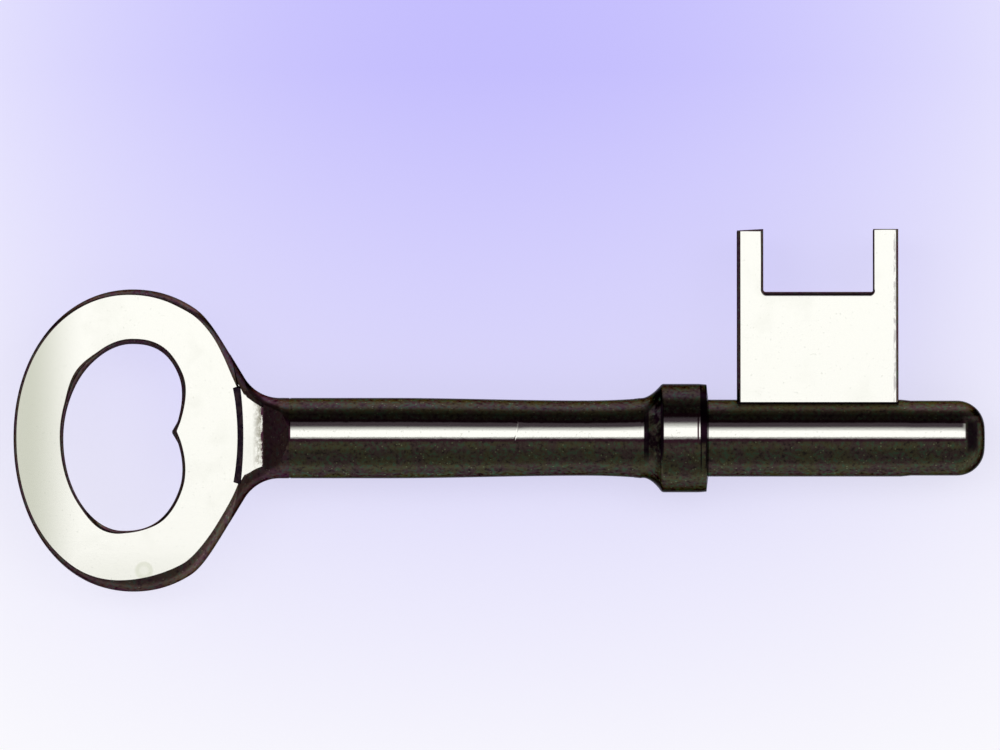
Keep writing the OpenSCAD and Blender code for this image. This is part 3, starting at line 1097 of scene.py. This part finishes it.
def ground_face(tree, spot, fine):
    """Colour and roughness of the flats of bow, neck and bit."""
    flat = step_between(tree, spot.face_on, *FLAT_EDGE)
    clouds = step_between(tree, noise(tree, spot.place, *CLOUD), *PATINA_CLOUDS)
    patina_and_shade = greatest(
        tree,
        times(tree, clouds, CLOUD_SHARE),
        step_between(tree, spot.x, *FAR_ARC),
        times(tree, step_between(tree, spot.y, *LOW_ARC), LOW_ARC_SHARE),
    )
    face = blend(tree, patina_and_shade, GROUND_METAL, PATINA_AND_SHADE_METAL)
    pits = times(tree, step_between(tree, fine, *GROUND_PIT_EDGE), GROUND_PIT_SHARE)
    face = blend(tree, pits, face, GROUND_PIT_TONE)
    face = blend(tree, times(tree, round_mark(tree, spot), MARK_SHARE), face, MARK_TONE)
    streaks = noise(tree, stretched(tree, spot.place, *STREAK_STRETCH), *STREAKS)
    worn = times(
        tree,
        step_between(tree, spot.x, *WORN_FROM),
        step_between(tree, streaks, *STREAK_EDGE),
        WORN_SHARE,
    )
    face = blend(tree, worn, face, WORN_TONE)
    face = blend(tree, flat, BRIGHT_METAL, face)
    return face, scaled(tree, flat, GROUND_ROUGH_MORE, GROUND_ROUGH)


def neck_face(tree, spot, fine):
    """As the other flats, but grey and mottled towards the ramp."""
    face, rough = ground_face(tree, spot, fine)
    mottled = step_between(tree, neck_mottle(tree, spot), *MOTTLE_EDGE)
    grey = times(tree, step_between(tree, spot.x, *GREY_FROM), mottled, GREY_SHARE)
    return blend(tree, grey, face, GREY_TONE), rough


# Whole materials

DARK_ROUGH = 0.12
DARK_ROUGH_MORE = 0.2
SCRATCHES = (2600, 3, 0.6)
SCRATCH_STRETCH = (0.12, 1, 1)
SCRATCH_SHARE = 0.6
FINE_SHARE = 0.4
RELIEF_STRENGTH = 0.25
RELIEF_DEPTH = 0.01
# What a mirror of the metal keeps at a low angle
DARK_TINT = colour(0.3, 0.3, 0.3)
BRIGHT_TINT = colour(1.0, 1.0, 1.0)
# Painted shade colour for the upright walls of ground pieces
WALL_PAINTED_SHADE = colour(0.085, 0.055, 0.068)
UPRIGHT = (0.25, 0.1)
BOTH_SIDES = (1.0, 1.0)


def painted_shade_walls(tree, spot, shader):
    """Upright walls of the ground pieces are painted nearly black, as painted shade, and don't
    mirror.
    """
    wall_shade = node(tree, "BsdfDiffuse", {"Color": WALL_PAINTED_SHADE})
    upright = step_between(tree, spot.face_on, *UPRIGHT)
    return node(tree, "MixShader", {0: upright, 1: shader.outputs[0], 2: wall_shade.outputs[0]})


def metal(name, face_of, marks=None, sides=BOTH_SIDES):
    """Plated metal with painted light: a bright painted highlight where a surface faces front or
    back, painted dark reflection where it turns away.
    """
    made, tree = new_tree(name)
    spot = Surface(tree)
    ground = face_of is not polished_face
    grains = noise(tree, spot.place, *GRAINS)
    fine = noise(tree, spot.place, *FINE)
    # The bright line is a painted highlight, and the dark colour round it is painted dark reflection
    # with a painted shade fringe
    bright, fringe = painted_highlight_line(tree, spot)
    dark = blend(tree, fringe, painted_dark_reflection(tree, spot.place, grains), FRINGE_PAINTED_SHADE)
    if marks:
        bright, dark = marks(tree, spot, bright, dark)
    dark = painted_side_light(tree, spot, dark, sides)
    # Ground pieces tint their painted dark reflection and add painted light where a surface turns
    # ahead
    if ground:
        dark = tinted(tree, 1.0, dark, GROUND_GAIN)
        dark = tinted(tree, step_between(tree, spot.ahead, *FLANK_SIDE), dark, PAINTED_FLANK_LIGHT_GAIN)
    face, rough_bright = face_of(tree, spot, fine)
    rough_dark = scaled(tree, grains, DARK_ROUGH_MORE, DARK_ROUGH)
    scratches = noise(tree, stretched(tree, spot.place, *SCRATCH_STRETCH), *SCRATCHES)
    scratched = times(tree, scratches, SCRATCH_SHARE)
    relief = maths(tree, "ADD", scratched, times(tree, fine, FINE_SHARE))
    shader = node(tree, "BsdfPrincipled", {
        "Base Color": blend(tree, bright, dark, face),
        "Metallic": 1.0,
        "Specular Tint": blend(tree, bright, DARK_TINT, BRIGHT_TINT),
        "Roughness": node(tree, "Mix", {0: bright, 2: rough_dark, 3: rough_bright}).outputs[0],
        "Normal": bump(tree, relief, RELIEF_STRENGTH, RELIEF_DEPTH),
    })
    show(tree, painted_shade_walls(tree, spot, shader) if ground else shader)
    return made


BRAZE_GRAINS = (2800, 3, 0.6)
BRAZE_EDGE = (0.4, 0.65)
BRAZE_BLACK = colour(0.012, 0.007, 0.014)
BRAZE_BROWN = colour(0.035, 0.022, 0.028)
BRAZE_TINT = colour(0.1, 0.1, 0.1)
BRAZE_ROUGH = 0.25
BRAZE_ROUGH_MORE = 0.3
BRAZE_RELIEF = 0.4
BRAZE_DEPTH = 0.02


def braze_metal():
    """The filler in the joints, nearly black and grainy."""
    made, tree = new_tree("plated_braze_dark")
    place = node(tree, "TexCoord").outputs["Object"]
    grains = noise(tree, place, *BRAZE_GRAINS)
    share = step_between(tree, grains, *BRAZE_EDGE)
    show(tree, node(tree, "BsdfPrincipled", {
        "Base Color": blend(tree, share, BRAZE_BLACK, BRAZE_BROWN),
        "Metallic": 1.0,
        "Specular Tint": BRAZE_TINT,
        "Roughness": scaled(tree, grains, BRAZE_ROUGH_MORE, BRAZE_ROUGH),
        "Normal": bump(tree, grains, BRAZE_RELIEF, BRAZE_DEPTH),
    }))
    return made


# Lavender behind the bit fades to near white down the picture and to both sides
FLOOR_DEEP = colour(0.546, 0.509, 0.99)
FLOOR_PALE = colour(0.975, 0.975, 0.99)
# Where the colour is deepest, in metres, and how fast it fades down and to the sides
FLOOR_MIDDLE = -0.0165
FLOOR_TOP = 0.03
FLOOR_FALL = 15.5
FLOOR_SIDE = 290.0
# Shares of the floor's light that are its own and the lamps', so that shadows stay faint
OWN_SHARE = 0.745
LIT_SHARE = 0.5


def floor_material():
    """Pale lavender, which camera and mirrors see partly by its own light."""
    made, tree = new_tree("floor")
    where = node(tree, "SeparateXYZ", {0: node(tree, "TexCoord").outputs["Object"]})
    side = maths(tree, "SUBTRACT", where.outputs[0], FLOOR_MIDDLE)
    down = maths(tree, "SUBTRACT", FLOOR_TOP, where.outputs[1])
    unfallen = maths(tree, "SUBTRACT", 1.0, times(tree, down, FLOOR_FALL), clamp=True)
    unspread = maths(tree, "SUBTRACT", 1.0, times(tree, side, side, FLOOR_SIDE), clamp=True)
    tone = blend(tree, times(tree, unfallen, unspread), FLOOR_PALE, FLOOR_DEEP)
    path = node(tree, "LightPath")
    seen = greatest(
        tree,
        path.outputs["Is Camera Ray"],
        path.outputs["Is Glossy Ray"],
        path.outputs["Is Transmission Ray"],
    )
    plain = node(tree, "BsdfDiffuse", {"Color": tone})
    glow = node(tree, "Emission", {"Color": tone, "Strength": OWN_SHARE})
    faint = blend(tree, 1.0, tone, colour(LIT_SHARE, LIT_SHARE, LIT_SHARE), "MULTIPLY")
    lit = node(tree, "BsdfDiffuse", {"Color": faint})
    shared = node(tree, "AddShader", {0: glow.outputs[0], 1: lit.outputs[0]})
    show(tree, node(tree, "MixShader", {0: seen, 1: plain.outputs[0], 2: shared.outputs[0]}))
    return made


# Pieces

# Angles in degrees from which an edge stays sharp
SHARP_GROUND = 24
SHARP_TURNED = 32
# How much of the painted edge reflection the collar keeps, towards the bit and away from it
COLLAR_SIDES = (0.65, 0.2)

GROUND = metal("ground_nickel_face", ground_face)
POLISHED = metal("polished_nickel_bar", polished_face, nose_painted_shade)
COLLAR_METAL = metal("polished_nickel_collar", polished_face, collar_painted_shade, COLLAR_SIDES)
NECK_METAL = metal("ground_nickel_neck", neck_face, neck_painted_shade)
UNLIT_JOINT_METAL = metal("painted_dark_nickel_joint", polished_face, no_painted_highlight)
BRAZE = braze_metal()

for make, replaced, slot_name, material, sharp in (
    (make_bow, "bow", "ground_nickel", GROUND, SHARP_GROUND),
    (make_neck, "neck", "polished_nickel", NECK_METAL, SHARP_GROUND),
    (make_stem, "stem", "polished_nickel", POLISHED, SHARP_TURNED),
    (make_collar, "collar", "polished_nickel", COLLAR_METAL, SHARP_TURNED),
    (make_bit, "bit", "ground_nickel", GROUND, SHARP_GROUND),
    (make_bow_braze, "bow_braze", "plated_braze", BRAZE, SHARP_TURNED),
    (make_collar_braze, "collar_braze", "plated_braze", POLISHED, SHARP_TURNED),
    (make_bit_braze, "bit_braze", "plated_braze", BRAZE, SHARP_TURNED),
):
    piece = make()
    piece.data.materials.clear()
    piece.data.materials.append(material)
    finish_mesh(piece, sharp)
    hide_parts(replaced)

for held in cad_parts["neck_braze"].material_slots:
    held.material = UNLIT_JOINT_METAL

# Floor and light, in metres from here on

FLOOR_HALF = 2500

floor_corners = [
    (-FLOOR_HALF, -FLOOR_HALF, 0),
    (FLOOR_HALF, -FLOOR_HALF, 0),
    (FLOOR_HALF, FLOOR_HALF, 0),
    (-FLOOR_HALF, FLOOR_HALF, 0),
]
floor = new_object("floor", floor_corners, [(0, 1, 2, 3)])
floor.location = (0, 0, FLOOR_Z * MM)
floor.data.materials.append(floor_material())


def area_light(name, centre, size, radiance, tint, aim):
    """A flat lamp of a given brightness seen head on, in metres."""
    lamp = bpy.data.lights.new(name, "AREA")
    lamp.shape = "RECTANGLE"
    lamp.size, lamp.size_y = size
    lamp.energy = math.pi * size[0] * size[1] * radiance
    lamp.color = tint
    made = bpy.data.objects.new(name, lamp)
    made.location = centre
    made.rotation_mode = "QUATERNION"
    made.rotation_quaternion = (Vector(aim) - Vector(centre)).to_track_quat("-Z", "Y")
    bpy.context.scene.collection.objects.link(made)


BOX_X = -0.1
BOX_Z = 0.5
BOX_WIDE = 1.0
BOX_LOW = -0.009
BOX_HIGH = 0.165
BOX_LIGHT = 0.9
BOX_TINT = (1.0, 1.0, 0.985)
# Strips past the softbox, each dimmer than the last, which soften the streak's upper edge
FADE_COUNT = 4
FADE_STEP = 0.035
FADE_LIGHT = 0.58
FADE_RATIO = 0.45


def softbox(name, low, high, radiance):
    """A flat lamp overhead that reaches across the key between two places on Y."""
    middle = (low + high) / 2
    above = (BOX_X, middle, BOX_Z)
    area_light(name, above, (BOX_WIDE, high - low), radiance, BOX_TINT, (BOX_X, middle, 0))


softbox("softbox", BOX_LOW, BOX_HIGH, BOX_LIGHT)
for step in range(FADE_COUNT):
    start = BOX_HIGH + FADE_STEP * step
    softbox(f"softbox_fade_{step}", start, start + FADE_STEP, FADE_LIGHT * FADE_RATIO ** step)

# A pale card in front of the key, between two angles from straight up, seen from the stem
CARD_START = math.radians(15)
CARD_END = math.radians(36)
CARD_AWAY = 0.5
CARD_X = -0.0165
CARD_WIDE = 1.4
CARD_LIGHT = 0.27
CARD_TINT = (1.0, 0.95, 0.85)


def card_edge(angle):
    return Vector((0, -CARD_AWAY * math.sin(angle), CARD_AWAY * math.cos(angle)))


def near_card():
    low, high = card_edge(CARD_START), card_edge(CARD_END)
    middle = (low + high) / 2 + Vector((CARD_X, 0, 0))
    across = (high - low).normalized()
    face = Vector((0, -across.z, across.y))
    if face.y < 0:
        face = -face
    size = (CARD_WIDE, (high - low).length)
    area_light("card_near", middle, size, CARD_LIGHT, CARD_TINT, middle + face)


near_card()

WALL = colour(0.54, 0.51, 0.49)
CEILING = colour(0.39, 0.385, 0.37)
DARK_SIDE = colour(0.054, 0.04, 0.049)
# Directions: how high the wall ends, and how far back, high and wide the dark side lies
WALL_HIGH = (0.38, 0.05)
DARK_BACK = (0.42, 0.52)
DARK_HIGH = (0.28, 0.46)
DARK_WIDE = (0.5, 0.3)


def studio():
    """A pale room, dark behind the bit, where round parts mirror it above their streak."""
    made = bpy.data.worlds.new("studio")
    made.use_nodes = True
    tree = made.node_tree
    way = node(tree, "SeparateXYZ", {0: node(tree, "TexCoord").outputs["Generated"]})
    side, back, high = way.outputs
    tone = blend(tree, step_between(tree, high, *WALL_HIGH), CEILING, WALL)
    dark = times(
        tree,
        step_between(tree, back, *DARK_BACK),
        step_between(tree, high, *DARK_HIGH),
        step_between(tree, maths(tree, "ABSOLUTE", side), *DARK_WIDE),
    )
    tone = blend(tree, dark, tone, DARK_SIDE)
    tree.links.new(tone, tree.nodes["Background"].inputs[0])
    return made


bpy.context.scene.world = studio()

# Camera

VIEW_CENTRE = Vector((-0.01656, 0.00506, 0))
VIEW_DISTANCE = 1.6
VIEW_TILT_Y = math.radians(4)
VIEW_TILT_X = math.radians(0.2)
VIEW_WIDTH = 0.08
SENSOR = 36.0
NEAREST = 0.01

camera = bpy.data.cameras.new("camera")
camera.sensor_width = SENSOR
camera.lens = SENSOR * VIEW_DISTANCE / VIEW_WIDTH
camera.clip_start = NEAREST
camera_object = bpy.data.objects.new("camera", camera)
back = Vector((-math.tan(VIEW_TILT_X), -math.tan(VIEW_TILT_Y), 1)).normalized()
across = (Vector((1, 0, 0)) - back * back.x).normalized()
turned_to = Matrix((across, back.cross(across), back)).transposed()
camera_object.location = VIEW_CENTRE + VIEW_DISTANCE * back
camera_object.rotation_mode = "QUATERNION"
camera_object.rotation_quaternion = turned_to.to_quaternion()
bpy.context.scene.collection.objects.link(camera_object)
bpy.context.scene.camera = camera_object
bpy.context.scene.view_settings.view_transform = "Standard"
